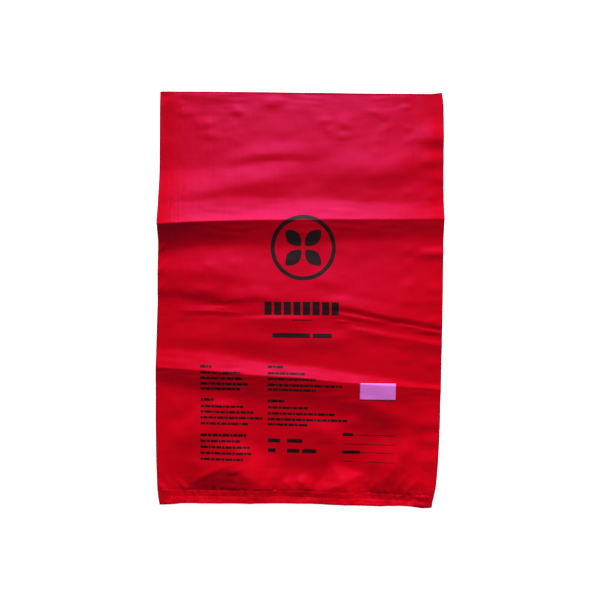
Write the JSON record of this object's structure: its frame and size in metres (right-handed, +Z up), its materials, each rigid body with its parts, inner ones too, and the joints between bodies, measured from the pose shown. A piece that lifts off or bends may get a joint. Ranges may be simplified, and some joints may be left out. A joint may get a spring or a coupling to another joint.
{
  "type": "biohazard waste bag",
  "caption": "Flat red film waste bag, open at the mouth and heat-sealed above its hem, with folds across it and a small indicator label; lines a bin for clinical waste.",
  "frame": {"origin": "on the surface the bag lies on, under the middle of its outline", "axes": "+X across the bag to the right seen from its printed side, +Y from the hem to the open mouth, +Z up, out of the printed side"},
  "size_m": [0.3082, 0.4456, 0.0134],
  "materials": {
    "red_film": "glossy thin blown film, slightly crinkled, with plain black print",
    "lilac_label": "satin coated label stock"
  },
  "bodies": {
    "root": {"bag_film": "red_film", "indicator_label": "lilac_label"}
  },
  "joints": []
}
